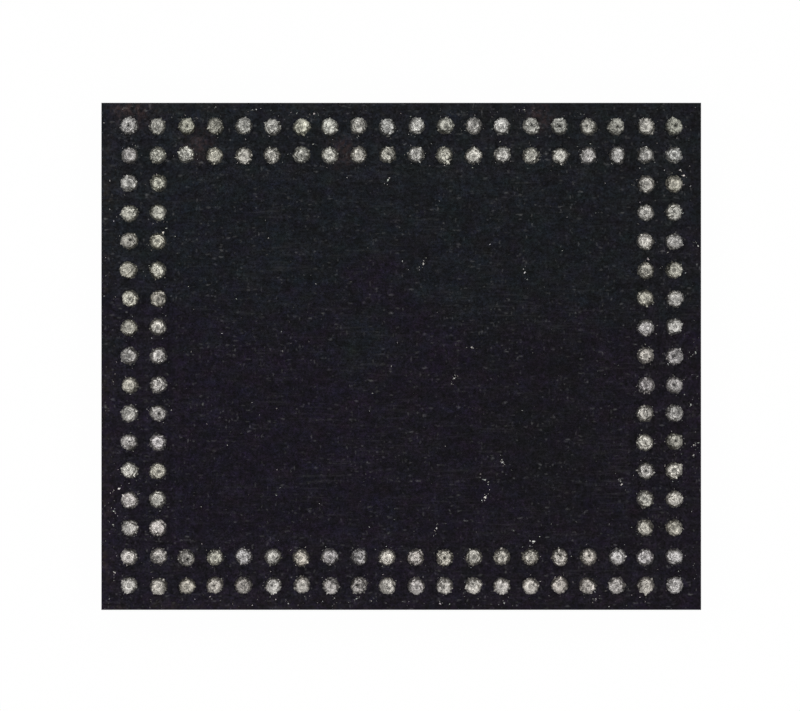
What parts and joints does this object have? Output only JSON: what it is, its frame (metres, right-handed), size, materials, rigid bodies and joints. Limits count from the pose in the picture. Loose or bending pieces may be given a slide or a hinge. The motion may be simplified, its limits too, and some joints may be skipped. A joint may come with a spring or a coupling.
{
  "type": "ball grid array package",
  "caption": "Thin square-edged semiconductor package lying on its marking face, with solder balls in a double ring round the edge of its upper side.",
  "frame": {"origin": "centre of the marking face, which the package lies on", "axes": "+X along the longer edge towards ball column 1, +Y towards ball row A, +Z out of the ball side"},
  "size_m": [0.0136, 0.0116, 0.0011],
  "materials": {
    "mould_compound": "matte",
    "attach_film": "matte",
    "silicon": "polished",
    "gold_wire": "gloss",
    "inner_mask": "satin",
    "copper": "satin",
    "laminate": "satin",
    "plug_resin": "matte",
    "solder_mask": "satin",
    "solder": "matte"
  },
  "bodies": {
    "root": {"mould_cap": "mould_compound", "die_attach_film": "attach_film", "die": "silicon", "bond_wires": "gold_wire", "die_side_mask": "inner_mask", "die_side_copper": "copper", "substrate_core": "laminate", "via_barrels": "copper", "via_plugs": "plug_resin", "ball_side_copper": "copper", "ball_side_mask": "solder_mask", "balls_row_a": "solder", "balls_row_b": "solder", "balls_row_c": "solder", "balls_row_d": "solder", "balls_row_e": "solder", "balls_row_f": "solder", "balls_row_g": "solder", "balls_row_h": "solder", "balls_row_j": "solder", "balls_row_k": "solder", "balls_row_l": "solder", "balls_row_m": "solder", "balls_row_n": "solder", "balls_row_p": "solder", "balls_row_r": "solder", "balls_row_t": "solder", "balls_row_u": "solder"}
  },
  "joints": []
}
